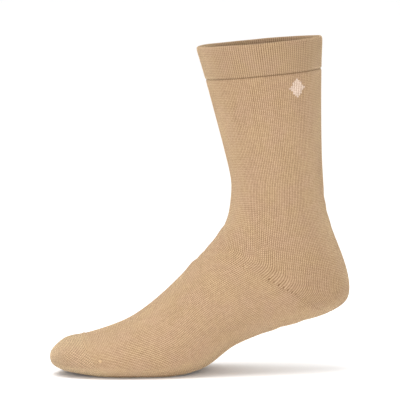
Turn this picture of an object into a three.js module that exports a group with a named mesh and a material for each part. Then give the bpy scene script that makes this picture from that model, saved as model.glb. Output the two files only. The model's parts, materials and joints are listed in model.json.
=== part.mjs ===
// A knitted diabetic crew sock in its worn shape: hollow, open at the cuff, with the heel raised
// and the ball and the toes flat. It is one knitted tube in six stretches, from the top down:
// the double turned welt, the leg, the heel pocket, the instep, the foot and the closed toe.
// Millimetres, +Z up, toes towards -X, the big toe's side towards -Y.
import * as THREE from "three";

// ---- Driving dimensions ----
const clothWall = 1.8; // single knit with a plush inner face
const weltWall = 2.8; // the cloth turned double
const seamGap = 0.3; // clear space between neighbouring stretches
const columnsAround = 42; // one for every 4 of the 168 wales
const ringStep = 13; // longest distance from one ring to the next
const outlineSteps = 360; // straight steps that stand for half a section while it is divided
const normalStep = 0.02; // share of a table row used to find the skin's direction

// ---- Sections ----
// One row for each section across the sock, from the cuff to the toes. A section runs from its
// front point (shin, instep, top of the toes) to its back point (calf, heel, sole).
//   half       how far it bulges to either side
//   widest     where it is widest, as a share of the way from back to front
//   frontForm, backForm   2 is an ellipse's end, less is a ridge, more is a flat end
//   lead       how far the big toe's side runs ahead and the little toe's side stays behind
//   ridge      how far the front point lies towards the big toe's side
//   shift      how far the sides lie towards the big toe's side
const sectionColumns = [
  "name", "frontX", "frontZ", "backX", "backZ", "half", "widest", "frontForm", "backForm", "lead", "ridge",
  "shift",
];
const sections = [
  ["cuffFold", -51.5, 269.5, 52.5, 279, 48, 0.5, 2, 2.1, 0, 0, 0],
  ["weltEdge", -44, 244.6, 52, 254.1, 45.2, 0.5, 2, 2.1, 0, 0, 0],
  ["shin", -34.5, 209.5, 52, 216, 40.5, 0.5, 2, 2.1, 0, 0, 0],
  ["lowShin", -27, 180.5, 52.5, 184.5, 37.5, 0.51, 2.05, 2.05, 0, 0, 0],
  ["narrowest", -22.5, 159.5, 54, 159.5, 35, 0.52, 2.1, 2, 0, 0, 0],
  ["ankle", -23, 143.5, 56, 140, 34.5, 0.54, 2.1, 1.95, 0, 0, 0],
  ["ankleBone", -25.5, 129.5, 61.5, 119.5, 36.3, 0.57, 2.1, 2, 0, 0, 0],
  ["heelBack", -30.5, 119.5, 70, 97.5, 36.3, 0.58, 2.05, 2.05, 0, 0, 0],
  ["heelRound", -35, 113, 75.5, 76.5, 35.2, 0.57, 2, 2.1, 0, 0, 0],
  ["heelCorner", -37, 110.5, 74, 61, 34.2, 0.56, 2, 2.15, 0, 0, 0],
  ["heelTurn", -39.5, 107.5, 60, 50.5, 34.2, 0.56, 2, 2.25, 0, 0, 0],
  ["archBack", -47, 99.5, 33, 41.5, 35.6, 0.54, 1.95, 2.35, 0.5, 1, 0],
  ["arch", -56.5, 89.2, 3, 32, 37.8, 0.49, 1.85, 2.4, 2, 2, 0],
  ["waist", -67, 78.1, -22, 20.5, 40.5, 0.44, 1.8, 2.5, 4, 3, 0],
  ["ballBack", -79.5, 66.5, -42, 5, 43.5, 0.38, 1.8, 2.7, 6.5, 5, 0],
  ["ball", -93, 55.5, -63, -0.5, 46.5, 0.35, 1.8, 3, 9, 6, 0],
  ["ballFront", -108, 46, -87, -1, 48, 0.35, 1.8, 3, 10, 8, 0],
  ["toeRoot", -127, 38.4, -106, -1, 46, 0.37, 1.85, 3, 6, 9, 1],
  ["toeSeam", -145.5, 32.9, -125, -1, 40.7, 0.4, 2, 2.8, 0, 10, 3.7],
  ["toes", -154, 31.7, -142, 0, 36.5, 0.42, 2.1, 2.6, 4, 10, 3.6],
  ["toeEnds", -162, 28.9, -155, 1.5, 29.5, 0.44, 2.1, 2.4, 6, 10, 2.4],
  ["toeTips", -168.5, 22.8, -164.5, 4.5, 19.5, 0.46, 2.1, 2.2, 5, 10, 1],
].map((row) => Object.fromEntries(sectionColumns.map((column, i) => [column, row[i]])));
const toeEnd = new THREE.Vector3(-172, -10, 12.5);
const soleHeight = 0; // what dips below this is pressed flat by the ground

// ---- The six stretches, each between two sections ----
const stretches = [
  { name: "welt", from: "cuffFold", to: "weltEdge", wall: weltWall, colour: 0xbe9d7f },
  { name: "leg", from: "weltEdge", to: "ankle", wall: clothWall, colour: 0xc7a684 },
  { name: "heel", from: "ankle", to: "heelTurn", wall: clothWall, colour: 0xc4a384 },
  { name: "instep", from: "heelTurn", to: "waist", wall: clothWall, colour: 0xc9a785 },
  { name: "foot", from: "waist", to: "toeSeam", wall: clothWall, colour: 0xcaa885 },
  { name: "toe", from: "toeSeam", to: "end", wall: clothWall, colour: 0xd0ad88 },
];

// ---- The outer skin ----
// A section's outline: a superellipse whose front and back halves have forms of their own.
function outlinePoint(section, angle) {
  const front = new THREE.Vector3(section.frontX, -section.ridge, section.frontZ);
  const back = new THREE.Vector3(section.backX, 0, section.backZ);
  const centre = back.clone().lerp(front, section.widest);
  const towardsFront = Math.cos(angle) > 0;
  const form = towardsFront ? section.frontForm : section.backForm;
  const reach = Math.abs(Math.cos(angle)) ** (2 / form);
  const side = Math.sign(Math.sin(angle)) * Math.abs(Math.sin(angle)) ** (2 / form);
  const point = centre.lerp(towardsFront ? front : back, reach);
  point.x -= side * section.lead;
  point.y -= side * section.half + Math.abs(side) * section.shift;
  point.z = Math.max(point.z, soleHeight);
  return point;
}

// Divides a line of points into equal parts and returns where each part starts.
function partStarts(points, parts) {
  const travelled = [0];
  for (let i = 1; i < points.length; i++) {
    travelled.push(travelled[i - 1] + points[i].distanceTo(points[i - 1]));
  }
  const starts = [];
  let i = 1;
  for (let part = 0; part < parts; part++) {
    const wanted = (travelled.at(-1) * part) / parts;
    while (travelled[i] < wanted) i++;
    const share = (wanted - travelled[i - 1]) / (travelled[i] - travelled[i - 1]);
    starts.push(points[i - 1].clone().lerp(points[i], share));
  }
  return starts;
}

// A section as evenly spaced points: down the big toe's side, then up the little toe's side.
function sectionRing(section) {
  const sideRing = (startAngle) => {
    const outline = [];
    for (let i = 0; i <= outlineSteps; i++) {
      outline.push(outlinePoint(section, startAngle + (Math.PI * i) / outlineSteps));
    }
    return partStarts(outline, columnsAround / 2);
  };
  return [...sideRing(0), ...sideRing(Math.PI)];
}

// A smooth curve down each column of the sock, through all of its sections to the end of the toe.
const rings = [...sections.map(sectionRing), new Array(columnsAround).fill(toeEnd)];
const columnCurves = [];
for (let column = 0; column < columnsAround; column++) {
  columnCurves.push(new THREE.CatmullRomCurve3(rings.map((ring) => ring[column])));
}
const lastRow = rings.length - 1;
const rowOf = (name) => (name === "end" ? lastRow : sections.findIndex((s) => s.name === name));

// A point of the outer skin, by its place down the table, whole numbers being the table's rows.
function skinPoint(row, column) {
  const curve = columnCurves[(column + columnsAround) % columnsAround];
  const point = curve.getPoint(row / lastRow);
  point.z = Math.max(point.z, soleHeight);
  return point;
}

// Two directions at a point of the skin: down the sock, square to the ring, and into the hollow.
function skinDirections(row, column) {
  const above = Math.max(row - normalStep, 0);
  const below = Math.min(row + normalStep, lastRow);
  const along = skinPoint(below, column).sub(skinPoint(above, column));
  const across = skinPoint(row, column + 1).sub(skinPoint(row, column - 1));
  const inward = new THREE.Vector3().crossVectors(across, along).normalize();
  const down = new THREE.Vector3().crossVectors(inward, across).normalize();
  return { down, inward };
}

// ---- A stretch as a closed solid ----
// Rows at which a stretch has its rings, close enough everywhere to keep to the ring step.
function ringRows(firstRow, endRow) {
  const rows = [];
  const backColumn = columnsAround / 2;
  for (let row = firstRow; row < endRow; row++) {
    const lengths = [0, backColumn].map((column) =>
      skinPoint(row, column).distanceTo(skinPoint(row + 1, column)),
    );
    const parts = Math.ceil(Math.max(...lengths) / ringStep);
    for (let part = 0; part < parts; part++) rows.push(row + part / parts);
  }
  rows.push(endRow);
  return rows;
}

// The outer and inner rings of a stretch. Its two end rings are drawn back to leave the seam gaps.
function wallRings({ from, to, wall }) {
  const firstRow = rowOf(from);
  const endRow = rowOf(to);
  const isFolded = firstRow === 0;
  const isClosed = endRow === lastRow;
  const outer = [];
  const inner = [];
  for (const row of ringRows(firstRow, endRow)) {
    let drawBack = 0;
    if (row === firstRow) drawBack = isFolded ? wall / 2 : seamGap / 2;
    if (row === endRow && !isClosed) drawBack = -seamGap / 2;
    const outerRing = [];
    const innerRing = [];
    for (let column = 0; column < columnsAround; column++) {
      const { down, inward } = skinDirections(row, column);
      const skin = skinPoint(row, column).addScaledVector(down, drawBack);
      outerRing.push(skin);
      innerRing.push(skin.clone().addScaledVector(inward, wall));
    }
    outer.push(outerRing);
    inner.push(innerRing);
  }
  return { outer, inner, isFolded, isClosed };
}

// The ridge of the turned cuff, between its outer and inner top rings.
function foldRing(outerRing, innerRing, wall) {
  return outerRing.map((point, column) => {
    const { down } = skinDirections(0, column);
    return point.clone().lerp(innerRing[column], 0.5).addScaledVector(down, -wall / 2);
  });
}

// Walks round the wall, from its outer skin over one end to its inner skin and back.
function stretchGeometry(stretch) {
  const { outer, inner, isFolded, isClosed } = wallRings(stretch);
  const fold = isFolded ? [foldRing(outer[0], inner[0], stretch.wall)] : [];
  const positions = [];
  const addTriangle = (a, b, c) => {
    for (const point of [a, b, c]) positions.push(point.x, point.y, point.z);
  };
  const addBand = (ringA, ringB) => {
    for (let column = 0; column < columnsAround; column++) {
      const next = (column + 1) % columnsAround;
      addTriangle(ringA[column], ringB[column], ringB[next]);
      addTriangle(ringA[column], ringB[next], ringA[next]);
    }
  };
  const addTip = (ring, tip, isOuter) => {
    for (let column = 0; column < columnsAround; column++) {
      const next = (column + 1) % columnsAround;
      if (isOuter) addTriangle(ring[column], tip, ring[next]);
      else addTriangle(ring[next], tip, ring[column]);
    }
  };
  let walk;
  if (isClosed) {
    const innerTip = toeEnd.clone().add(new THREE.Vector3(stretch.wall, 0, 0));
    const outerRings = outer.slice(0, -1);
    const innerRings = inner.slice(0, -1);
    addTip(outerRings.at(-1), toeEnd, true);
    addTip(innerRings.at(-1), innerTip, false);
    walk = [...innerRings.reverse(), ...outerRings];
  } else {
    walk = [...outer, ...inner.reverse(), ...fold, outer[0]];
  }
  for (let i = 1; i < walk.length; i++) addBand(walk[i - 1], walk[i]);
  const geometry = new THREE.BufferGeometry();
  geometry.setAttribute("position", new THREE.Float32BufferAttribute(positions, 3));
  geometry.computeVertexNormals();
  return geometry;
}

// ---- The sock ----
const sock = new THREE.Group();
for (const stretch of stretches) {
  const material = new THREE.MeshStandardMaterial({ color: stretch.colour, roughness: 0.95, metalness: 0 });
  const mesh = new THREE.Mesh(stretchGeometry(stretch), material);
  mesh.name = stretch.name;
  sock.add(mesh);
}

// The origin is the middle of the welt, where the wearer's leg holds the sock up.
const [cuff, weltEdge] = sections;
sock.position.x = -(cuff.frontX + cuff.backX + weltEdge.frontX + weltEdge.backX) / 4;
sock.position.z = -(cuff.frontZ + cuff.backZ + weltEdge.frontZ + weltEdge.backZ) / 4;

export default sock;
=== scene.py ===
import json
import math

import bpy
import numpy as np
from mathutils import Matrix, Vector, noise
from mathutils.bvhtree import BVHTree

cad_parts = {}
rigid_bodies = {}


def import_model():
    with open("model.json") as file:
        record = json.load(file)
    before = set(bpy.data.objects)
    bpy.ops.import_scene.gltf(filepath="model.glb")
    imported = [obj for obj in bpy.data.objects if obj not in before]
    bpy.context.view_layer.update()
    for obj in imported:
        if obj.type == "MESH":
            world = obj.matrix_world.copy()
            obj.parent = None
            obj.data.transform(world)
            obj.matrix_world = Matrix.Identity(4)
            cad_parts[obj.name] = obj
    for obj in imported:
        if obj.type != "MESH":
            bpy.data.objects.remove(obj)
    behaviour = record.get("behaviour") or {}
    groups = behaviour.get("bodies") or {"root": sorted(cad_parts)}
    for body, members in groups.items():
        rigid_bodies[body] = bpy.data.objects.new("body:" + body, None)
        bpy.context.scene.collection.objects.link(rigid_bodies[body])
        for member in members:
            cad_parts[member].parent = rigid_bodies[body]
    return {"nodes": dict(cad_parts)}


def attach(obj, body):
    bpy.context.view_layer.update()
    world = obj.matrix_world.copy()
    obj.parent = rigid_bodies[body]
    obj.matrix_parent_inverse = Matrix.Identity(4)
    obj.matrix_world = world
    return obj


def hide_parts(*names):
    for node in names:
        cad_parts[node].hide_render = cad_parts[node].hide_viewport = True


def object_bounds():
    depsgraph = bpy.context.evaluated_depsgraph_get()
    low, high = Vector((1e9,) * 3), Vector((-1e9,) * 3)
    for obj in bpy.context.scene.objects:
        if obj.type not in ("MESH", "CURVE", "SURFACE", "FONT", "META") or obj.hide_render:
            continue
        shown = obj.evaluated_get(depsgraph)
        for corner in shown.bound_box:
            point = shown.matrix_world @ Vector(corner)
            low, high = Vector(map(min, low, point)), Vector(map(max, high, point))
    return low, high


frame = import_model()
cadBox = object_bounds()
print("frame loaded")


# Small helpers for the edit tools

def letGo():
    if bpy.context.object and bpy.context.object.mode != "OBJECT":
        bpy.ops.object.mode_set(mode="OBJECT")
    bpy.ops.object.select_all(action="DESELECT")


def hold(piece):
    letGo()
    piece.select_set(True)
    bpy.context.view_layer.objects.active = piece


def choose(piece, kind, wanted):
    # enters edit mode with only the wanted points, edges or faces selected
    hold(piece)
    bpy.ops.object.mode_set(mode="EDIT")
    bpy.ops.mesh.select_mode(type=kind)
    bpy.ops.mesh.select_all(action="DESELECT")
    bpy.ops.object.mode_set(mode="OBJECT")
    parts = {"VERT": piece.data.vertices, "EDGE": piece.data.edges, "FACE": piece.data.polygons}[kind]
    parts.foreach_set("select", np.asarray(wanted, dtype=bool))
    bpy.ops.object.mode_set(mode="EDIT")


def leave():
    bpy.ops.object.mode_set(mode="OBJECT")


def pointsOf(piece):
    points = np.zeros(len(piece.data.vertices) * 3)
    piece.data.vertices.foreach_get("co", points)
    return points.reshape(-1, 3)


def movePoints(piece, points):
    piece.data.vertices.foreach_set("co", points.ravel())
    piece.data.update()


def normalsOf(piece):
    normals = np.zeros(len(piece.data.vertices) * 3)
    piece.data.vertex_normals.foreach_get("vector", normals)
    return normals.reshape(-1, 3)


def measureOf(piece, name):
    values = np.zeros(len(piece.data.vertices))
    piece.data.attributes[name].data.foreach_get("value", values)
    return values


def keepMeasure(piece, name, values):
    layer = piece.data.attributes.new(name, "FLOAT", "POINT")
    layer.data.foreach_set("value", np.asarray(values, dtype=float))


def cornersOf(piece, mapName):
    # each corner's point, and its place on a UV map
    corners = len(piece.data.loops)
    points = np.zeros(corners, dtype=np.int32)
    piece.data.loops.foreach_get("vertex_index", points)
    places = np.zeros(corners * 2)
    piece.data.uv_layers[mapName].uv.foreach_get("vector", places)
    return points, places.reshape(-1, 2)


def facesOnEdges(piece):
    # how many faces meet at each edge
    edges = np.zeros(len(piece.data.loops), dtype=np.int32)
    piece.data.loops.foreach_get("edge_index", edges)
    return np.bincount(edges, minlength=len(piece.data.edges))


def edgeEnds(piece):
    ends = np.zeros(len(piece.data.edges) * 2, dtype=np.int32)
    piece.data.edges.foreach_get("vertices", ends)
    return ends.reshape(-1, 2)


def applyModifier(piece, kind, settings):
    hold(piece)
    bpy.ops.object.modifier_add(type=kind)
    modifier = piece.modifiers[-1]
    for name, value in settings.items():
        setattr(modifier, name, value)
    bpy.ops.object.modifier_apply(modifier=modifier.name)


def smoothOver(piece, wanted, times):
    choose(piece, "VERT", wanted)
    for _ in range(times):
        bpy.ops.mesh.vertices_smooth(factor=0.5)
    leave()


def easeIn(value, low, high):
    # 0 up to low, 1 from high on
    part = np.clip((value - low) / (high - low), 0, 1)
    return part * part * (3 - 2 * part)


def hump(off, width):
    return np.exp(-(off / width) ** 2)


def uneven(points, size, seed):
    # slow noise from -1 to 1 at each point
    shift = Vector((seed * 7.3, seed * 3.1, seed * 5.7))
    return np.array([noise.noise(Vector(p) / size + shift) for p in points])


# Camera, light and floor

view = {
    "distance": 2.5,
    "tilt": 5.5,
    "seen": 0.332,
    "lift": 0.0039,
}

middle = (Vector(cadBox[0]) + Vector(cadBox[1])) / 2
aim = Vector((middle.x, 0.0, middle.z + view["lift"]))
tilt = math.radians(view["tilt"])
bpy.ops.object.camera_add()
camera = bpy.context.object
camera.name = "sideCamera"
camera.location = aim + view["distance"] * Vector((0, -math.cos(tilt), math.sin(tilt)))
camera.rotation_euler = (math.pi / 2 - tilt, 0, 0)
camera.data.sensor_width = 36
camera.data.lens = 36 * view["distance"] / view["seen"]
bpy.context.scene.camera = camera

studio = {
    "room": 1.04,
    "overhead": {"spot": (-0.30, -0.25, 1.14), "size": (1.0, 1.0), "power": 15.0},
    "front": {"spot": (-0.12, -1.45, -0.01), "size": (1.5, 0.46), "power": 5.5},
    "low": {"spot": (-0.06, -0.60, -0.20), "size": (0.9, 0.10), "power": 1.6},
    "floorTone": 0.97,
}


def softBox(name, target):
    # spot is measured along from the middle of the sock, and out and up from the frame's origin
    given = studio[name]
    spot = Vector(given["spot"]) + Vector((aim.x, 0, 0))
    bpy.ops.object.light_add(type="AREA", location=spot)
    lamp = bpy.context.object
    lamp.name = name + "Light"
    lamp.rotation_euler = (target - spot).to_track_quat("-Z", "Y").to_euler()
    lamp.data.shape = "RECTANGLE"
    lamp.data.size, lamp.data.size_y = given["size"]
    lamp.data.energy = given["power"]


room = bpy.data.worlds.new("whiteRoom")
room.use_nodes = True
roomLight = room.node_tree.nodes["Background"]
roomLight.inputs["Color"].default_value = (1, 1, 1, 1)
roomLight.inputs["Strength"].default_value = studio["room"]
bpy.context.scene.world = room
bpy.context.scene.view_settings.view_transform = "Standard"

foot = aim + Vector((-0.06, 0, -0.10))
softBox("overhead", foot)
softBox("front", foot)
softBox("low", foot)

floorLevel = cadBox[0][2]
bpy.ops.mesh.primitive_plane_add(size=60, location=(aim.x, 0, floorLevel))
floor = bpy.context.object
floor.name = "studioFloor"
print("camera, light and floor ready")


# Shader maths

class Wire:
    # an output that can stand in a sum
    def __init__(self, recipe, node, outlet=0):
        self.recipe = recipe
        self.node = node
        self.socket = node.outputs[outlet]

    def other(self, outlet):
        return Wire(self.recipe, self.node, outlet)

    def maths(self, operation, *values):
        return self.recipe.add("ShaderNodeMath", {"operation": operation}, dict(enumerate(values)))

    def __add__(self, value):
        return self.maths("ADD", self, value)

    def __radd__(self, value):
        return self.maths("ADD", value, self)

    def __sub__(self, value):
        return self.maths("SUBTRACT", self, value)

    def __rsub__(self, value):
        return self.maths("SUBTRACT", value, self)

    def __mul__(self, value):
        return self.maths("MULTIPLY", self, value)

    def __rmul__(self, value):
        return self.maths("MULTIPLY", value, self)

    def __truediv__(self, value):
        return self.maths("DIVIDE", self, value)

    def __abs__(self):
        return self.maths("ABSOLUTE", self)

    def fraction(self):
        return self.maths("FRACT", self)

    def whole(self):
        return self.maths("FLOOR", self)

    def wave(self):
        return self.maths("COSINE", 2 * math.pi * self)

    def about(self, change):
        # varies by change in all, around 1
        return self * change + (1 - change / 2)

    def rise(self, low, high):
        # 0 below low, 1 above high, eased between
        return self.recipe.add("ShaderNodeMapRange", {"interpolation_type": "SMOOTHSTEP"},
                               {"Value": self, "From Min": low, "From Max": high})


class Recipe:
    # one material and its nodes
    def __init__(self, name):
        self.material = bpy.data.materials.new(name)
        self.material.use_nodes = True
        self.tree = self.material.node_tree
        self.tree.nodes.clear()
        self.out = self.tree.nodes.new("ShaderNodeOutputMaterial")

    def add(self, kind, settings, sockets, outlet=0):
        node = self.tree.nodes.new(kind)
        for name, value in settings.items():
            setattr(node, name, value)
        for name, value in sockets.items():
            if isinstance(value, Wire):
                self.tree.links.new(value.socket, node.inputs[name])
            elif isinstance(value, tuple) and node.inputs[name].type == "RGBA":
                node.inputs[name].default_value = (*value, 1)
            else:
                node.inputs[name].default_value = value
        return Wire(self, node, outlet)

    def blend(self, part, first, second):
        return self.add("ShaderNodeMix", {"data_type": "RGBA", "clamp_factor": False},
                        {0: part, 6: first, 7: second}, 2)

    def scaleColour(self, colour, amount):
        return self.add("ShaderNodeVectorMath", {"operation": "SCALE"}, {0: colour, "Scale": amount})

    def gap(self, name):
        # a distance kept on the mesh, in millimetres
        return self.add("ShaderNodeAttribute", {"attribute_name": name}, {}, "Fac") * 1000

    def cloudy(self, where, size, detail=2, roughness=0.5):
        # slow noise, around 0.5
        return self.add("ShaderNodeTexNoise", {},
                        {"Vector": where, "Scale": 1 / size, "Detail": detail, "Roughness": roughness})

    def finish(self, colour, roughness, height, constants):
        # constants are set on the shader's own sockets
        sockets = {"Base Color": colour, "Roughness": roughness}
        if height is not None:
            sockets["Normal"] = self.add("ShaderNodeBump", {},
                                         {"Height": height, "Distance": 1.0, "Strength": 1.0})
        sockets.update(constants)
        shader = self.add("ShaderNodeBsdfPrincipled", {}, sockets)
        self.tree.links.new(shader.socket, self.out.inputs["Surface"])
        return self.material


# Floor: matt white paper

paper = Recipe("whitePaper")
floor.data.materials.append(paper.finish((studio["floorTone"],) * 3, 0.9, None,
                                         {"Specular IOR Level": 0.1}))


# The knit. On the map called knit, across counts wales and down counts courses.

gauge = {
    "wales": 168,           # round the tube
    "course": 0.0014,       # one course, in metres
}
backWale = gauge["wales"] / 2

look = {
    "pinkYarn": (0.416, 0.282, 0.178),
    "goldYarn": (0.416, 0.289, 0.167),
    "deepYarn": (0.130, 0.066, 0.028),
    "warmSize": 0.016,
    "grooveFrom": 0.45,     # part of the way from a wale to its groove
    "grooveShade": 0.64,
    "streakShade": 0.9,
    "slitWidth": 0.28,      # between a stitch's two legs
    "slitShade": 0.05,
    "stitchSlant": 0.62,
    "stitchShade": 0.45,
    "stitchChange": 0.28,
    "streakChange": 0.10,
    "patchSize": 0.028,
    "patchChange": 0.03,
    "patchClear": 0.24,
    "mottleSize": 0.0016,
    "mottleChange": 0.13,
    "waleDepth": 0.00016,
    "stitchDepth": 0.00010,
    "slitDepth": 0.00004,
    "lintSize": 0.00042,
    "fuzz": 0.00004,
    "specular": 0.25,
    "sheen": 0.80,
    "sheenRoughness": 0.30,
    "sheenTint": (1.0, 0.79, 0.50),
}

# where the finish changes, with painted light and shade among it: each pair of limits is in millimetres, or
# in wales from the middle of the back
zones = {
    "toe": (0, 1.5),            # past the toe seam
    "forward": (-140, 10),      # past the toe seam
    "toeSides": (-2, 5),        # from the toe's side lines
    "toeLine": (0.1, 0.9),
    "heelWales": (20, 78),
    "heelTop": (-75, -25),      # past the gore
    "heelEnd": (0, 6),
    # painted shade at the top of the leg
    "calf": (0, 75),            # from the welt
    # painted shadow on the leg just under the welt
    "weltPaintedShadowReach": (0.2, 1.5),
    # painted shadow along the edge of the sole, just off the floor
    "paintedSoleShadowLow": (0.3, 0.9),       # off the floor
    "paintedSoleShadowHigh": (1.6, 2.8),
    "toeClear": 2.8,
    "toeGroove": 0.4,
    # painted light over the toe
    "toePaintedLight": 0.09,
    "toeLineShade": 0.16,
    "toeLineDepth": 0.000096,
    "footClear": 0.25,
    # painted light over the foot, growing towards the toe
    "footPaintedLight": 0.115,
    "heelClear": 0.7,
    # strengths of painted shade over the heel and the top of the leg, and of painted shadows under the welt
    # and at the sole's edge
    "heelPaintedShade": 0.13,
    "calfShade": 0.09,
    "weltPaintedShadow": 0.60,
    "paintedSoleShadowStrength": 0.85,
}

# the row of holes along the gore, where the heel pocket joins the foot
holes = {
    "fromWales": (27, 41),
    "toWales": (43, 48),
    "faint": 0.2,               # what shows of them before they begin
    "streaky": 0.8,
    "slant": 0.1,               # wales to each millimetre
    "stroke": (0.08, 0.24),
    "weakest": 0.45,
    "uneven": 0.9,
    "above": 1.2,               # millimetres above the gore
    "height": (0.7, 1.7),
    "shade": 1.0,
    "between": 0.12,
    "depth": 0.0003,
    "pullAbove": 1.5,
    "pullHeight": (0.5, 5.0),
    "pullShade": 0.07,
}

# a plain lozenge knitted in below the welt, in wales and courses
motif = {
    "yarn": (0.70, 0.56, 0.46),
    "wale": 57.5,
    "course": -9.5,
    "halfWide": 4.6,
    "halfHigh": 5.6,
    "edge": (0.97, 1.0),
}

yarnSurface = {
    "Specular IOR Level": look["specular"],
    "Sheen Weight": look["sheen"],
    "Sheen Roughness": look["sheenRoughness"],
    "Sheen Tint": look["sheenTint"],
}


def drawHoles(recipe, wale, gore, streak):
    # gives the strokes of the holes, the yarn between them and the pulled wales above
    fromBack = abs(wale - backWale)
    strength = fromBack.rise(*holes["fromWales"]) * (1 - holes["faint"]) + holes["faint"]
    strength = strength * (1 - fromBack.rise(*holes["toWales"])) * streak.about(holes["streaky"])
    pair = (wale - gore * holes["slant"]) / 2
    own = recipe.add("ShaderNodeTexWhiteNoise", {"noise_dimensions": "1D"}, {"W": pair.whole()})
    stroke = 1 - abs(pair.fraction() - 0.5).rise(*holes["stroke"])
    stroke = stroke * (own * holes["uneven"] + holes["weakest"])
    window = (1 - abs(gore + holes["above"]).rise(*holes["height"])) * strength
    pull = (1 - abs(gore + holes["pullAbove"]).rise(*holes["pullHeight"])) * strength
    return window * stroke, window * (1 - stroke), pull


def drawMotif(recipe, wale, course, tint):
    across = abs(wale.whole() + 0.5 - motif["wale"]) / motif["halfWide"]
    down = abs(course.whole() + 0.5 - motif["course"]) / motif["halfHigh"]
    return recipe.blend(1 - (across + down).rise(*motif["edge"]), tint, motif["yarn"])


def knitFinish(name, tone, change, hasLines):
    # change: how much the stitches differ, from 0 to 1
    recipe = Recipe(name)
    place = recipe.add("ShaderNodeUVMap", {"uv_map": "knit"}, {})
    wale = recipe.add("ShaderNodeSeparateXYZ", {}, {0: place})
    course = wale.other("Y")
    here = recipe.add("ShaderNodeTexCoord", {}, {}, "Object")

    across = abs(wale.fraction() - 0.5) * 2          # 0 on the wale, 1 in its groove
    groove = across.rise(look["grooveFrom"], 1.0)
    slit = 1 - across.rise(0.0, look["slitWidth"])
    yarnWave = (course + across * look["stitchSlant"]).wave() * 0.5 + 0.5

    alongWale = recipe.add("ShaderNodeCombineXYZ", {}, {0: wale * 0.9, 1: course * 0.02})
    streak = recipe.cloudy(alongWale, 1.0, 1)
    patch = recipe.cloudy(here, look["patchSize"], 2)
    mottle = recipe.cloudy(here, look["mottleSize"], 2, 0.7)
    warm = recipe.cloudy(here, look["warmSize"], 1)
    lint = recipe.cloudy(here, look["lintSize"], 3, 0.7)
    stitch = recipe.add("ShaderNodeCombineXYZ", {}, {0: wale.whole(), 1: course.whole()})
    ownTone = recipe.add("ShaderNodeTexWhiteNoise", {"noise_dimensions": "2D"}, {"Vector": stitch})

    # how clear the grooves are from place to place, and the stitches
    sharp = patch.rise(0.3, 0.7).about(look["patchClear"])
    clear = sharp
    if hasLines:
        gore = recipe.gap("goreGap")
        fromSeam = recipe.gap("toeGap")
        side = recipe.gap("sideGap")
        toe = fromSeam.rise(*zones["toe"])
        forward = fromSeam.rise(*zones["forward"])
        heel = 1 - abs(wale - backWale).rise(*zones["heelWales"])
        heel = heel * gore.rise(*zones["heelTop"]) * (1 - gore.rise(*zones["heelEnd"]))
        clearer = toe * side.rise(*zones["toeSides"]) * zones["toeClear"]
        clearer = clearer + heel * zones["heelClear"] + forward * zones["footClear"]
        clear = sharp * (1 + clearer)
        sharp = sharp * (1 + toe * zones["toeGroove"])
    dark = groove * look["grooveShade"] * sharp * streak.about(look["streakShade"])
    dark = dark + (1 - yarnWave) * look["stitchShade"] * clear + slit * look["slitShade"]
    light = 1 - dark + (clear - 1) * (look["stitchShade"] / 2)      # clearer stitches aren't darker in all
    light = light * mottle.about(look["mottleChange"] * change) * streak.about(look["streakChange"])
    light = light * patch.about(look["patchChange"]) * ownTone.about(look["stitchChange"] * change)

    height = (1 - groove) * look["waleDepth"] + yarnWave * (1 - groove) * look["stitchDepth"]
    height = height - slit * look["slitDepth"] + lint * look["fuzz"]
    tint = recipe.blend(warm.rise(0.25, 0.75), look["pinkYarn"], look["goldYarn"])

    if hasLines:
        fromWelt = recipe.gap("weltGap")
        fromFloor = (recipe.add("ShaderNodeSeparateXYZ", {}, {0: here}, "Z") - floorLevel) * 1000
        hole, between, pull = drawHoles(recipe, wale, gore, streak)
        toeLine = 1 - side.rise(*zones["toeLine"])
        # painted shade: darker at the top of the leg, as the light falls off there
        calf = 1 - fromWelt.rise(*zones["calf"])
        # painted shadow on the leg just under the welt
        under = 1 - fromWelt.rise(*zones["weltPaintedShadowReach"])
        # painted shadow along the edge of the sole, just off the floor
        paintedSoleShadow = fromFloor.rise(*zones["paintedSoleShadowLow"]) * (1 - fromFloor.rise(*zones["paintedSoleShadowHigh"]))
        light = light * (1 - hole * holes["shade"]) * (1 + between * holes["between"])
        light = light * (1 - pull * groove * holes["pullShade"]) * (1 - toeLine * zones["toeLineShade"])
        # painted light: lighter over the toe and the foot
        light = light * (1 + toe * zones["toePaintedLight"]) * (1 + forward * zones["footPaintedLight"])
        # painted shade: darker over the heel pocket and at the top of the leg
        light = light * (1 - heel * zones["heelPaintedShade"]) * (1 - calf * zones["calfShade"])
        # painted shadows under the welt and along the sole's edge
        light = light * (1 - under * zones["weltPaintedShadow"]) * (1 - paintedSoleShadow * zones["paintedSoleShadowStrength"])
        height = height - hole * holes["depth"] - toeLine * zones["toeLineDepth"]
        tint = drawMotif(recipe, wale, course, tint)
    colour = recipe.scaleColour(recipe.blend(light, look["deepYarn"], tint), tone)
    return recipe.finish(colour, mottle * 0.10 + 0.84, height, yarnSurface)


# the lining's terry loops
plush = {
    "loops": 1.9,               # loops to a wale
    "squash": (1.0, 0.8, 1.0),
    "loop": (0.20, 0.75),
    "loopShade": 0.55,
    "loopDepth": 0.0005,
    "patchSize": 0.02,
    "patchChange": 0.14,
    "lintSize": 0.0005,
    "lintChange": 0.16,
    "lintDepth": 0.00008,
    "roughness": 0.95,
    "specular": 0.2,
    "sheen": 0.25,
}


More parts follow.
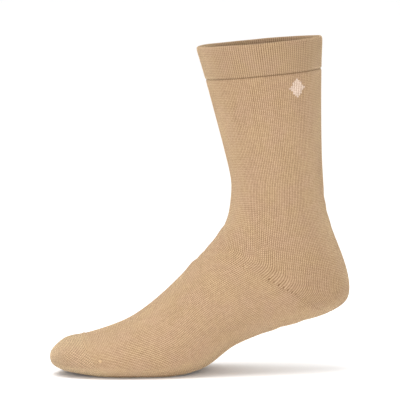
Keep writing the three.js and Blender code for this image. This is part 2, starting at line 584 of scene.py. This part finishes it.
def plushFinish(name, tone):
    recipe = Recipe(name)
    place = recipe.add("ShaderNodeUVMap", {"uv_map": "knit"}, {})
    here = recipe.add("ShaderNodeTexCoord", {}, {}, "Object")
    squash = recipe.add("ShaderNodeVectorMath", {"operation": "MULTIPLY"}, {0: place, 1: plush["squash"]})
    loops = recipe.add("ShaderNodeTexVoronoi", {"feature": "F1"}, {"Vector": squash, "Scale": plush["loops"]})
    patch = recipe.cloudy(here, plush["patchSize"], 2)
    lint = recipe.cloudy(here, plush["lintSize"], 2)
    light = 1 - loops.rise(*plush["loop"]) * plush["loopShade"]
    light = light * patch.about(plush["patchChange"]) * lint.about(plush["lintChange"]) * tone
    colour = recipe.scaleColour(recipe.blend(patch, look["pinkYarn"], look["goldYarn"]), light)
    height = (1 - loops) * plush["loopDepth"] + lint * plush["lintDepth"]
    return recipe.finish(colour, plush["roughness"], height, {
        "Specular IOR Level": plush["specular"],
        "Sheen Weight": plush["sheen"],
        "Sheen Tint": look["sheenTint"],
    })


plainKnit = knitFinish("plainKnit", 1.0, 1.0, True)
# the welt is toned darker than the leg: painted shade, as the light falls off towards the top
weltKnit = knitFinish("weltKnit", 0.90, 0.5, False)
plushInside = plushFinish("plushInside", 0.92)
print("materials ready")


# A second map, on which nothing lies on anything else, for the finish to be baked onto: one band for the
# outside, one for the lining and a strip for each cut edge

bakeMap = {
    "margin": 0.004,
    "bands": [(0.345, 0.996), (0.048, 0.330), (0.004, 0.012), (0.020, 0.028)],
}


def facesOfCorners(piece):
    # each face's first corner, and each corner's face
    counts = np.zeros(len(piece.data.polygons), dtype=np.int32)
    piece.data.polygons.foreach_get("loop_total", counts)
    return np.concatenate([[0], np.cumsum(counts)[:-1]]), np.repeat(np.arange(len(counts)), counts)


def layBakeMap(piece, wale, along, band):
    # along runs from one end of a band to the other; band is the band that each face goes in
    first, face = facesOfCorners(piece)
    crosses = np.maximum.reduceat(wale, first) - np.minimum.reduceat(wale, first) > backWale
    wale = wale + np.where(crosses[face] & (wale < backWale), gauge["wales"], 0)
    places = np.zeros((len(wale), 2))
    places[:, 0] = bakeMap["margin"] + (1 - 2 * bakeMap["margin"]) * wale / gauge["wales"]
    for number, (low, high) in enumerate(bakeMap["bands"]):
        chosen = band[face] == number
        if chosen.any():
            part = (along[chosen] - along[chosen].min()) / np.ptp(along[chosen])
            places[chosen, 1] = low + (high - low) * part
    layer = piece.data.uv_layers.new(name="OFBake", do_init=False)
    layer.uv.foreach_set("vector", places.ravel())


def mapTubePiece(piece, cutRows):
    # cutRows: the rows where the piece was cut off the tube, one strip for each
    points, onKnit = cornersOf(piece, "knit")
    first, face = facesOfCorners(piece)
    lining = measureOf(piece, "lining")[points]
    inside = np.minimum.reduceat(lining, first) > 0.5
    cut = (np.maximum.reduceat(lining, first) > 0.5) & ~inside
    rowNumber = measureOf(piece, "rowNumber")[points][first]
    band = np.where(inside, 1, 0)
    for number, row in enumerate(cutRows):
        band[cut & (np.abs(rowNumber - row) < 1)] = 2 + number
    waleOf = np.zeros(len(piece.data.vertices))
    onCut = cut[face]
    waleOf[points[~onCut]] = onKnit[~onCut, 0]
    wale = np.where(onCut, waleOf[points], onKnit[:, 0])
    layBakeMap(piece, wale, np.where(onCut, lining, onKnit[:, 1]), band)


# The body: leg, heel, instep, foot and toe as one knitted tube, cut later along the gore and the toe seam

body = {
    "columns": 42,                  # in the frame's own rings
    "cloth": 0.0018,
    "weld": 0.0004,
    "goreColumns": (6.5, 9.5),      # from the front, where the gore begins
    "toeSide": 11,                  # the column of the toe's side line
    "farSide": 0.05,                # stands for its distance outside the toe
    "upright": 4.0,                 # wales, the most that the heel's are turned to stay upright
    "uprightFrom": (4, 28),         # wales from the middle of the back
    "uprightTo": (30, 52),
    "uprightAbove": 0.024,
    "tipRows": 2.6,
    "tipSmooth": 12,
    "liningSmooth": 4,
    "settle": 0.0050,               # height below which the sole is pressed to the floor
    "flatFrom": (0.016, 0.046),     # from the tip of the toe
    "flatTo": (0.095, 0.125),
    "rib": 0.00011,
    "ribStart": (0.0, 0.004),
    "ribEnd": (-0.006, -0.001),
    "waviness": 0.00025,
    "waveSize": 0.045,
    "tuck": 0.0014,                 # how far the leg goes in under the welt
    "tuckLength": 0.0030,
    "furrow": 0.0002,
    "furrowWidth": 0.0008,
    "furrowEnds": (48, 56),         # wales from the middle of the back
    "ridge": 0.0003,
    "ridgeWidth": 0.0010,
    "ridgeStarts": (38, 46),
    "dipBehind": 0.0030,
    "dipWidth": 0.0022,
    "fullness": 0.0001,
    "levels": 2,
    "extraRows": 3,
}
walesPerColumn = gauge["wales"] // body["columns"]


def outerSkin(nodeName):
    source = frame["nodes"][nodeName]
    skin = bpy.data.objects.new(nodeName + "Skin", source.data.copy())
    bpy.context.scene.collection.objects.link(skin)
    skin.data.materials.clear()
    choose(skin, "FACE", np.ones(len(skin.data.polygons)))
    bpy.ops.mesh.remove_doubles(threshold=1e-5)
    bpy.ops.mesh.select_all(action="SELECT")
    bpy.ops.mesh.tris_convert_to_quads(face_threshold=1.2, shape_threshold=1.2, topology_influence=2.0)
    leave()
    return skin


def keepOuter(skin):
    # the face that looks most to the side is on the outer wall; all that runs on smoothly from it stays
    outward = np.array([face.normal.y * face.center.y for face in skin.data.polygons])
    choose(skin, "FACE", np.arange(len(outward)) == outward.argmax())
    bpy.ops.mesh.faces_select_linked_flat(sharpness=math.radians(70))
    bpy.ops.mesh.select_all(action="INVERT")
    bpy.ops.mesh.delete(type="FACE")
    leave()
    return skin


def ringsOf(skin):
    # the rings of points from the open edge on, each starting at the front and going down the big toe's side
    mesh = skin.data
    beside = [[] for _ in mesh.vertices]
    for edge in mesh.edges:
        first, second = edge.vertices
        beside[first].append(second)
        beside[second].append(first)
    openEdges = [mesh.edges[i].vertices for i in np.flatnonzero(facesOnEdges(skin) == 1)]
    openPoints = {i for ends in openEdges for i in ends}
    start = min(openPoints, key=lambda i: mesh.vertices[i].co.x)
    ring = [start]
    step = min((i for i in beside[start] if i in openPoints), key=lambda i: mesh.vertices[i].co.y)
    while step is not None:
        ring.append(step)
        onward = [i for i in beside[step] if i in openPoints and i not in ring]
        step = onward[0] if onward else None
    rings = [ring]
    done = set(ring)
    while True:
        fresh = [[n for n in beside[i] if n not in done] for i in rings[-1]]
        if not fresh[0]:
            break
        ring = []
        for point, some in zip(rings[-1], fresh):
            spot = mesh.vertices[point].co
            ring.append(min(some, key=lambda n: (mesh.vertices[n].co - spot).length))
        rings.append(ring)
        done.update(ring)
    return rings


stretches = ["leg", "heel", "instep", "foot", "toe"]
skins = [keepOuter(outerSkin(name)) for name in stretches]
ringCounts = [len(skin.data.vertices) // body["columns"] for skin in skins]
borders = np.cumsum([count - 1 for count in ringCounts])
ankleRow, goreRow, waistRow, seamRow = (int(n) for n in borders[:4])
hold(skins[0])
for skin in skins[1:]:
    skin.select_set(True)
bpy.ops.object.join()
tube = bpy.context.object
tube.name = "knitTube"
choose(tube, "VERT", np.ones(len(tube.data.vertices)))
bpy.ops.mesh.remove_doubles(threshold=body["weld"])
leave()

rings = ringsOf(tube)
print("rings", len(rings), [len(set(ring)) for ring in rings][-3:], "borders", borders)
grid = np.array([[tube.data.vertices[i].co for i in ring] for ring in rings])      # row, column, xyz
rows = len(rings)
columns = body["columns"]
steps = np.linalg.norm(np.diff(grid, axis=0), axis=2)
down = np.vstack([np.zeros(columns), np.cumsum(steps, axis=0)])     # from the welt, down each column

# Courses run level down to the gore, and start again from the toe seam behind it. In front, where the
# tube is knitted straight on, the slack between the two is shared out over the heel and instep.
total = down[seamRow, 0]
back = down[seamRow] - down
fromFront = np.minimum(np.arange(columns), columns - np.arange(columns))
slack = (total - down[ankleRow] - back[waistRow]) / (down[waistRow] - down[ankleRow])
atGore = easeIn(fromFront, *body["goreColumns"])
share = slack * (1 - atGore) + atGore
above = np.where(np.arange(rows)[:, None] <= ankleRow, down, down[ankleRow] + (down - down[ankleRow]) * share)
below = np.where(np.arange(rows)[:, None] >= waistRow, total - back,
                 total - back[waistRow] - (back - back[waistRow]) * share)

# Wales follow the columns as far as the toe seam. In the toe they keep their spacing, and run out at
# its sides.
around = np.linalg.norm(np.roll(grid, -1, axis=1) - grid, axis=2)
plain = np.arange(columns + 1) * walesPerColumn
side = body["toeSide"]


def toeWales(row, start, stop, way):
    # wale numbers for the columns from start to stop, by the distance from start
    def lengths(r):
        order = [k % columns for k in range(start, stop, way)]
        if way < 0:
            order = [(k - 1) % columns for k in range(start, stop, way)]
        return np.concatenate([[0], np.cumsum([around[r][k] for k in order])])
    numbers = np.arange(start, stop + way, way) * walesPerColumn
    return np.interp(lengths(row), lengths(seamRow), numbers)


upper = np.tile(plain.astype(float), (rows, 1))

# over the heel the wales stay upright as far as the gore instead of turning to meet it
offBack = plain - backWale
turnAcross = easeIn(np.abs(offBack), *body["uprightFrom"]) * (1 - easeIn(np.abs(offBack), *body["uprightTo"]))
nearGore = easeIn(down[:goreRow + 1] - down[goreRow], -body["uprightAbove"], 0.0)
turned = turnAcross * np.sign(offBack) * np.hstack([nearGore, nearGore[:, :1]])
heelWales = upper[:goreRow + 1] + turned * body["upright"]
turned = np.vstack([turned, np.zeros((rows - goreRow - 1, columns + 1))])
lower = upper.copy()
for row in range(seamRow + 1, rows):
    upper[row, 0:side + 1] = toeWales(row, 0, side, 1)
    upper[row, columns - side:columns + 1] = toeWales(row, columns, columns - side, -1)[::-1]
    lower[row, side:columns // 2 + 1] = toeWales(row, columns // 2, side, -1)[::-1]
    lower[row, columns // 2:columns - side + 1] = toeWales(row, columns // 2, columns - side, 1)

rowOf = {}
columnOf = {}
for row, ring in enumerate(rings):
    for column, point in enumerate(ring):
        rowOf[point] = row
        columnOf.setdefault(point, column)

knitMap = tube.data.uv_layers.new(name="knit")
regions = []
tipIsPoint = len(set(rings[-1])) == 1
for face in tube.data.polygons:
    faceRows = [rowOf[i] for i in face.vertices]
    faceColumns = [columnOf[i] for i in face.vertices if rowOf[i] < rows - 1 or not tipIsPoint]
    wraps = max(faceColumns) - min(faceColumns) > 2
    first = columns - 1 if wraps else min(faceColumns)
    top = min(faceRows)
    regions.append(0 if top < goreRow else 1 if top < seamRow else 2)
    wales = upper if first < side or first >= columns - side else lower
    wales = heelWales if top < goreRow else wales
    for corner, point in zip(face.loop_indices, face.vertices):
        row = rowOf[point]
        column = columnOf[point]
        if row == rows - 1 and tipIsPoint:
            wale = (wales[row, first] + wales[row, first + 1]) / 2
            column = first
        else:
            column = columns if wraps and column == 0 else column
            wale = wales[row, column]
        drop = above if top < goreRow else below
        knitMap.uv[corner].vector = (wale, -drop[row, column % columns] / gauge["course"])

places = [(rowOf[i], columnOf[i]) for i in range(len(tube.data.vertices))]
sideReach = np.full((rows, columns), body["farSide"])       # from each point of the toe to a side line
for row in range(seamRow, rows):
    along = np.concatenate([[0], np.cumsum(around[row])])
    for column in range(columns):
        ways = [abs(along[column] - along[side]), abs(along[column] - along[columns - side])]
        sideReach[row, column] = min(ways)
keepMeasure(tube, "rowNumber", [row for row, column in places])
keepMeasure(tube, "goreGap", [down[row, column] - down[goreRow, column] for row, column in places])
keepMeasure(tube, "toeGap", [down[row, column] - down[seamRow, column] for row, column in places])
keepMeasure(tube, "weltGap", [down[row, column] for row, column in places])
keepMeasure(tube, "sideGap", [sideReach[row, column] for row, column in places])
keepMeasure(tube, "turned", [abs(turned[row, column]) for row, column in places])

for finish in [plainKnit] * 3 + [plushInside] * 3:      # leg, foot and toe, outside and inside
    tube.data.materials.append(finish)
tube.data.polygons.foreach_set("material_index", np.array(regions, dtype=np.int32))
print("knit map laid, gore row", goreRow, "seam row", seamRow, "rows", rows)


def roundOut(piece):
    # subdivides the frame's points so that the smooth skin still passes through them
    wanted = pointsOf(piece)
    trial = piece.copy()
    trial.data = piece.data.copy()
    bpy.context.scene.collection.objects.link(trial)
    levels = {"levels": body["levels"], "render_levels": body["levels"]}
    applyModifier(trial, "SUBSURF", levels)
    missed = wanted - pointsOf(trial)[:len(wanted)]
    bpy.data.objects.remove(trial)
    movePoints(piece, wanted + missed)
    applyModifier(piece, "SUBSURF", levels)
    return np.linalg.norm(missed, axis=1).max()


rowStep = 1 / 2 ** body["levels"]       # from one row of points to the next, once the tube is rounded out
near = 0.01                             # rows closer than this are one row


def closeRows(piece, row):
    # more rows of points on both sides of a row
    span = measureOf(piece, "rowNumber")[edgeEnds(piece)]
    downward = np.abs(span[:, 0] - span[:, 1]) > near
    beside = (span.min(axis=1) > row - rowStep - near) & (span.max(axis=1) < row + rowStep + near)
    choose(piece, "EDGE", downward & beside)
    bpy.ops.mesh.subdivide(number_cuts=body["extraRows"])
    leave()


def closeColumns(piece, lastRow):
    # three points to a wale: one in its groove and two on its crest
    span = measureOf(piece, "rowNumber")[edgeEnds(piece)]
    level = np.abs(span[:, 0] - span[:, 1]) < near
    choose(piece, "EDGE", level & (span.max(axis=1) < lastRow + near))
    bpy.ops.mesh.subdivide(number_cuts=2)
    leave()


print("skin moved back by", round(roundOut(tube) * 1000, 2), "mm")
for row in (0, goreRow, seamRow):
    closeRows(tube, row)
onLines = len(tube.data.vertices)       # the points so far lie in the grooves
closeColumns(tube, seamRow + rowStep)
print("tube has", len(tube.data.polygons), "faces")

# at is metres down from the welt, spread is in wales, and lean is the slope across the wales
creases = [
    {"wale": 2, "at": 0.128, "spread": 13, "lean": 0.5, "width": 0.0035, "depth": 0.0006},
    {"wale": -9, "at": 0.142, "spread": 16, "lean": 0.8, "width": 0.0042, "depth": 0.0007},
    {"wale": 11, "at": 0.147, "spread": 15, "lean": -0.7, "width": 0.0040, "depth": 0.0006},
    {"wale": 1, "at": 0.158, "spread": 18, "lean": -0.2, "width": 0.0050, "depth": 0.0005},
    {"wale": 86, "at": 0.110, "spread": 12, "lean": 0.6, "width": 0.0040, "depth": 0.0005},
    {"wale": 79, "at": 0.124, "spread": 11, "lean": -0.5, "width": 0.0038, "depth": 0.0005},
]
waleWidth = 0.0017


def walesFrom(wale, other):
    # the short way round
    return (wale - other + backWale) % gauge["wales"] - backWale


def creaseMove(points, wale, course):
    move = np.zeros(len(points))
    for crease in creases:
        apart = walesFrom(wale, crease["wale"])
        off = course - crease["at"] - apart * waleWidth * crease["lean"]
        width = crease["width"]
        shape = hump(off, width) - 0.6 * hump(off - 1.9 * width, width)     # a trough, then a lower swell
        depth = crease["depth"] * (1 + 0.4 * uneven(points, 0.02, 2))
        move -= depth * shape * hump(apart, crease["spread"])
    return move


def shapeTube():
    corners, placesOnKnit = cornersOf(tube, "knit")
    wale = np.zeros(len(tube.data.vertices))
    course = np.zeros(len(tube.data.vertices))
    wale[corners] = placesOnKnit[:, 0]
    course[corners] = -placesOnKnit[:, 1] * gauge["course"]
    points = pointsOf(tube)
    weltGap = measureOf(tube, "weltGap")
    toeGap = measureOf(tube, "toeGap")
    goreGap = measureOf(tube, "goreGap")
    fromBack = np.abs(wale - backWale)

    move = uneven(points, body["waveSize"], 1) * body["waviness"] + creaseMove(points, wale, course)
    # ribs, up to the toe seam and where the wales follow the columns
    clear = (1 - easeIn(toeGap, *body["ribEnd"])) * easeIn(weltGap, *body["ribStart"])
    clear = clear * (1 - easeIn(measureOf(tube, "turned"), 0.0, 0.3))
    crest = np.where(np.arange(len(points)) < onLines, -1.0, 0.5)
    move += body["rib"] * crest * clear * (0.8 + 0.5 * uneven(points, 0.03, 3))
    move -= body["tuck"] * np.clip(1 - weltGap / body["tuckLength"], 0, 1) ** 2
    # a furrow along the gore, and a low ridge with a dip behind it along the toe seam
    move -= body["furrow"] * hump(goreGap, body["furrowWidth"]) * (1 - easeIn(fromBack, *body["furrowEnds"]))
    ridge = hump(toeGap, body["ridgeWidth"]) - 0.5 * hump(toeGap + body["dipBehind"], body["dipWidth"])
    move += body["ridge"] * ridge * easeIn(fromBack, *body["ridgeStarts"])
    points = points + normalsOf(tube) * (move + body["fullness"])[:, None]
    # the sole lies flat under the ball and the toes, with a firm lower edge
    height = np.maximum(points[:, 2] - floorLevel, 0)
    fromTip = points[:, 0] - cadBox[0][0]
    flat = easeIn(fromTip, *body["flatFrom"]) * (1 - easeIn(fromTip, *body["flatTo"]))
    pressed = 1 - flat * (1 - easeIn(height, 0.0, body["settle"]))
    points[:, 2] = floorLevel + height * pressed
    movePoints(tube, points)


shapeTube()
smoothOver(tube, measureOf(tube, "rowNumber") > rows - body["tipRows"], body["tipSmooth"])


# The toe seam: one slanted linked stitch to each wale, drawn back at its ends to a knot on each side

seamYarn = {
    "reach": 40,                # wales each way from the middle of the top
    "length": 0.0019,
    "thick": 0.00022,
    "slant": 0.5,
    "middle": 1.12,             # how thick the middle is, and how much of that the ends lose
    "ends": 0.5,
    "bow": 0.00042,
    "drawnFrom": 24,
    "drawnBack": 0.0042,
    "drawnUp": 0.0028,
    "knotSize": 0.0011,
    "knotYarn": 0.00055,
    "plySize": 0.0007,
    "plyDepth": 0.0001,
    "lintSize": 0.0002,
    "lintDepth": 0.00003,
}


def yarnFinish(name, tone):
    # plied sewing yarn, without stitches of its own
    recipe = Recipe(name)
    here = recipe.add("ShaderNodeTexCoord", {}, {}, "Object")
    ply = recipe.cloudy(here, seamYarn["plySize"], 2)
    lint = recipe.cloudy(here, seamYarn["lintSize"], 2)
    colour = recipe.blend(ply * 0.3 + lint * 0.2 + 0.65, look["deepYarn"], look["goldYarn"])
    height = ply * seamYarn["plyDepth"] + lint * seamYarn["lintDepth"]
    return recipe.finish(recipe.scaleColour(colour, tone), 0.85, height, yarnSurface)


seamFinish = yarnFinish("seamYarn", 0.92)
# the knots are the seam's yarn toned lighter: a painted highlight where they catch the light
knotPaintedLightFinish = yarnFinish("knotYarn", 1.12)


def oneStitch():
    bpy.ops.mesh.primitive_cylinder_add(vertices=6, radius=seamYarn["thick"], depth=seamYarn["length"],
                                        rotation=(0, math.pi / 2, 0))
    stitch = bpy.context.object
    bpy.ops.object.transform_apply(location=True, rotation=True, scale=True)
    span = pointsOf(stitch)[edgeEnds(stitch)]
    choose(stitch, "EDGE", np.abs(span[:, 0, 0] - span[:, 1, 0]) > seamYarn["thick"])
    bpy.ops.mesh.subdivide(number_cuts=3)
    leave()
    points = pointsOf(stitch)
    along = points[:, 0] / (seamYarn["length"] / 2)
    points[:, 1:] *= (seamYarn["middle"] - seamYarn["ends"] * along ** 2)[:, None]
    points[:, 2] -= seamYarn["bow"] * along ** 2
    movePoints(stitch, points)
    return stitch


def setDown(piece, spot, along, up):
    # moves the piece's points from the origin to a spot, its x along and its z up
    axes = np.array([along, up.cross(along).normalized(), up])
    movePoints(piece, pointsOf(piece) @ axes + np.array(spot))


def oneKnot(name, spot, along, up):
    # an overhand knot
    turns = np.linspace(0, 2 * math.pi, 36, endpoint=False)
    trail = np.stack([np.sin(turns) + 2 * np.sin(2 * turns), np.cos(turns) - 2 * np.cos(2 * turns),
                      -1.2 * np.sin(3 * turns)], axis=1) * (seamYarn["knotSize"] / 3)
    bpy.ops.curve.primitive_nurbs_circle_add(radius=1)
    knot = bpy.context.object
    spline = knot.data.splines[0]
    spline.points.add(len(trail) - len(spline.points))
    for point, place in zip(spline.points, trail):
        point.co = (*place, 1)
    knot.data.bevel_depth = seamYarn["knotYarn"]
    knot.data.bevel_resolution = 2
    knot.data.resolution_u = 2
    bpy.ops.object.convert(target="MESH")
    knot = bpy.context.object
    knot.name = name
    setDown(knot, spot + up * seamYarn["knotSize"] * 0.5, along, up)
    return knot


def sewSeam():
    corners, placesOnKnit = cornersOf(tube, "knit")
    atSeam = np.abs(measureOf(tube, "rowNumber")[corners] - seamRow) < near
    corners = corners[atSeam]
    wale = walesFrom(placesOnKnit[atSeam, 0], 0)        # from the middle of the top
    points = pointsOf(tube)
    skin = BVHTree.FromObject(tube, bpy.context.evaluated_depsgraph_get())
    spots = []
    for number in np.arange(-seamYarn["reach"], seamYarn["reach"] + 1):
        spot = Vector(points[corners[np.abs(wale - number).argmin()]])
        ending = easeIn(abs(number), seamYarn["drawnFrom"], seamYarn["reach"])
        spot += Vector((seamYarn["drawnBack"], 0, seamYarn["drawnUp"])) * ending
        spots.append(skin.find_nearest(spot)[:2])
    pattern = oneStitch()
    stitches = []
    for (before, _), (spot, up), (after, _) in zip(spots, spots[1:], spots[2:]):
        run = (after - before).normalized()
        back = up.cross(run).normalized()
        along = (back + run * seamYarn["slant"]).normalized()
        stitch = pattern.copy()
        stitch.data = pattern.data.copy()
        bpy.context.scene.collection.objects.link(stitch)
        setDown(stitch, spot, along, (up - along * up.dot(along)).normalized())
        stitches.append(stitch)
    bpy.data.objects.remove(pattern)
    hold(stitches[0])
    for stitch in stitches[1:]:
        stitch.select_set(True)
    bpy.ops.object.join()
    seam = bpy.context.object
    seam.name = "toeSeam"
    knots = []
    seamEnds = (("littleToeKnot", spots[0], spots[1]), ("bigToeKnot", spots[-1], spots[-2]))
    for name, (spot, up), (last, _) in seamEnds:
        along = (last - spot).normalized()
        knots.append(oneKnot(name, spot, (along - up * along.dot(up)).normalized(), up))
    return [seam, *knots]


seamPieces = sewSeam()
for piece in seamPieces:
    piece.data.materials.clear()
    piece.data.materials.append(seamFinish if piece.name == "toeSeam" else knotPaintedLightFinish)
    hold(piece)
    bpy.ops.object.shade_smooth()
    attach(piece, "root")
print("toe seam sewn,", len(seamPieces[0].data.polygons), "faces")

applyModifier(tube, "SOLIDIFY", {"thickness": body["cloth"], "offset": -1, "use_rim": True,
                                 "material_offset": 3, "material_offset_rim": 3})
lined = np.arange(len(tube.data.vertices)) >= len(tube.data.vertices) // 2
keepMeasure(tube, "lining", lined)
smoothOver(tube, lined, body["liningSmooth"])
hold(tube)
bpy.ops.object.shade_smooth()
wholeNormals = tube.data.attributes.new("wholeNormal", "FLOAT_VECTOR", "POINT")
wholeNormals.data.foreach_set("vector", normalsOf(tube).ravel())
print("tube has its wall")


def cutPiece(name, region):
    # takes the region's outer and inner faces off the tube and closes its cut ends
    if region < 2:
        marks = np.zeros(len(tube.data.polygons), dtype=np.int32)
        tube.data.polygons.foreach_get("material_index", marks)
        before = set(bpy.data.objects)
        choose(tube, "FACE", (marks % 3) == region)
        bpy.ops.mesh.separate(type="SELECTED")
        leave()
        piece = (set(bpy.data.objects) - before).pop()
    else:
        piece = tube
    piece.name = name
    piece.data.name = name
    openEdges = facesOnEdges(piece) == 1
    rowNumber = measureOf(piece, "rowNumber")
    ends = edgeEnds(piece)
    for border in (goreRow, seamRow):
        here = openEdges & (np.abs(rowNumber[ends].mean(axis=1) - border) < near)
        if here.any():
            choose(piece, "EDGE", here)
            bpy.ops.mesh.bridge_edge_loops()
            leave()
            openEdges = np.append(openEdges, np.zeros(len(piece.data.edges) - len(openEdges), dtype=bool))
            rowNumber = measureOf(piece, "rowNumber")
            ends = edgeEnds(piece)
    return piece


legKnit = cutPiece("legKnit", 0)
footKnit = cutPiece("footKnit", 1)
toeKnit = cutPiece("toeKnit", 2)
for piece, cutRows in ((legKnit, (0, goreRow)), (footKnit, (goreRow, seamRow)), (toeKnit, (seamRow,))):
    mapTubePiece(piece, cutRows)
    openEdges = int((facesOnEdges(piece) != 2).sum())
    print(piece.name, "faces", len(piece.data.polygons), "open edges", openEdges)


def keepNormals(piece):
    # the shading runs on over the cuts, as if the tube were whole
    vectors = np.zeros(len(piece.data.vertices) * 3)
    piece.data.attributes["wholeNormal"].data.foreach_get("vector", vectors)
    piece.data.normals_split_custom_set_from_vertices([Vector(v) for v in vectors.reshape(-1, 3)])
    piece.data.attributes.remove(piece.data.attributes["wholeNormal"])


for piece in (legKnit, footKnit, toeKnit):
    keepNormals(piece)
    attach(piece, "root")
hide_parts("leg", "heel")
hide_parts("instep", "foot")
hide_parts("toe")


# The welt: turned double, with a round fold at the mouth

welt = {
    "rib": 0.00013,
    "waveSize": 0.035,
    "rimRow": 4,                # the row of points on the fold at the mouth
    "rimRows": 3,               # rows each way that its waves reach
    "rimWave": 0.0004,
    "rimWaveSize": 0.022,
    "rimLift": 0.0006,
    "roll": [(0.00020, 0.00030), (0.00055, 0.00050), (0.00100, 0.00045)],       # in and down, step by step
    "double": 0.02,             # what spans more of the knit than this is the strip under the lower edge
}

cuff = outerSkin("welt")
choose(cuff, "FACE", [face.normal.z < -0.9 for face in cuff.data.polygons])     # its flat lower edge
bpy.ops.mesh.delete(type="FACE")
leave()
weltRings = ringsOf(cuff)
print("welt rings", len(weltRings))
weltGrid = np.array([[cuff.data.vertices[i].co for i in ring] for ring in weltRings])
weltSteps = np.linalg.norm(np.diff(weltGrid, axis=0), axis=2)
weltDown = np.vstack([np.zeros(columns), np.cumsum(weltSteps, axis=0)])
rowOf = {i: row for row, ring in enumerate(weltRings) for i in ring}
columnOf = {i: column for ring in weltRings for column, i in enumerate(ring)}
knitMap = cuff.data.uv_layers.new(name="knit")
for face in cuff.data.polygons:
    faceColumns = [columnOf[i] for i in face.vertices]
    wraps = max(faceColumns) - min(faceColumns) > 2
    for corner, point in zip(face.loop_indices, face.vertices):
        column = columnOf[point]
        wale = (columns if wraps and column == 0 else column) * walesPerColumn
        knitMap.uv[corner].vector = (wale, weltDown[rowOf[point], column] / gauge["course"])
keepMeasure(cuff, "rowNumber", [rowOf[i] for i in range(len(cuff.data.vertices))])
cuff.data.materials.append(weltKnit)
cuff.data.polygons.foreach_set("material_index", np.zeros(len(cuff.data.polygons), dtype=np.int32))
roundOut(cuff)
closeColumns(cuff, len(weltRings))


def shapeWelt():
    corners, placesOnKnit = cornersOf(cuff, "knit")
    wale = np.zeros(len(cuff.data.vertices))
    wale[corners] = placesOnKnit[:, 0]
    rowNumber = measureOf(cuff, "rowNumber")
    points = pointsOf(cuff)
    normals = normalsOf(cuff)
    outside = 1 - easeIn(rowNumber, welt["rimRow"], welt["rimRow"] + 1)
    crest = np.where(np.abs(wale - np.round(wale)) < 0.1, -1.0, 0.5)
    strength = 0.85 + 0.5 * uneven(points, 0.03, 4)
    waves = uneven(points, welt["waveSize"], 5) * body["waviness"]
    move = waves * easeIn(rowNumber, 0.0, 1.0) + body["fullness"]
    move += welt["rib"] * crest * strength * outside * easeIn(rowNumber, 0.0, 0.3)
    points = points + normals * move[:, None]
    nearRim = np.clip(1 - np.abs(rowNumber - welt["rimRow"]) / welt["rimRows"], 0, 1)
    rimWave = welt["rimWave"] * uneven(points * (1, 1, 0), welt["rimWaveSize"], 6)
    points[:, 2] += nearRim * (welt["rimLift"] + rimWave)
    movePoints(cuff, points)


shapeWelt()


def weltMeasures():
    # each point's wale, and how far round the fold it lies from the lower edge
    points, onKnit = cornersOf(cuff, "knit")
    for name, values in (("wale", onKnit[:, 0]), ("along", onKnit[:, 1] * gauge["course"])):
        atPoints = np.zeros(len(cuff.data.vertices))
        atPoints[points] = values
        keepMeasure(cuff, name, atPoints)


weltMeasures()


def rollEdge():
    # the lower edge turns in and under before it meets the inner wall
    for index, (inward, drop) in enumerate(welt["roll"]):
        openEdges = facesOnEdges(cuff) == 1
        rowNumber = measureOf(cuff, "rowNumber")
        ends = edgeEnds(cuff)
        outerEdge = openEdges & (rowNumber[ends].max(axis=1) < 2)
        choose(cuff, "EDGE", outerEdge)
        bpy.ops.mesh.extrude_edges_move()
        leave()
        chosen = np.zeros(len(cuff.data.vertices), dtype=bool)
        cuff.data.vertices.foreach_get("select", chosen)
        points = pointsOf(cuff)
        last = (0.0, 0.0) if index == 0 else welt["roll"][index - 1]
        centre = points[chosen].mean(axis=0)
        toward = centre - points[chosen]
        toward[:, 2] = 0
        toward /= np.linalg.norm(toward, axis=1)[:, None]
        points[chosen] += toward * (inward - last[0])
        points[chosen, 2] -= drop - last[1]
        movePoints(cuff, points)
        along = measureOf(cuff, "along")
        along[chosen] = -inward - drop
        cuff.data.attributes["along"].data.foreach_set("value", along)
    choose(cuff, "EDGE", facesOnEdges(cuff) == 1)
    bpy.ops.mesh.bridge_edge_loops()
    leave()


rollEdge()


def mapWelt():
    points = cornersOf(cuff, "knit")[0]
    first, face = facesOfCorners(cuff)
    along = measureOf(cuff, "along")[points]
    under = np.maximum.reduceat(along, first) - np.minimum.reduceat(along, first) > welt["double"]
    lastRow = np.maximum.reduceat(measureOf(cuff, "rowNumber")[points], first)
    band = np.where(under, 2, np.where(lastRow > welt["rimRow"] + near, 1, 0))
    layBakeMap(cuff, measureOf(cuff, "wale")[points], along, band)


mapWelt()
weltCuff = cuff
weltCuff.name = "weltCuff"
hold(weltCuff)
bpy.ops.object.shade_smooth()
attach(weltCuff, "root")
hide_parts("welt")
print("welt done", len(weltCuff.data.polygons))
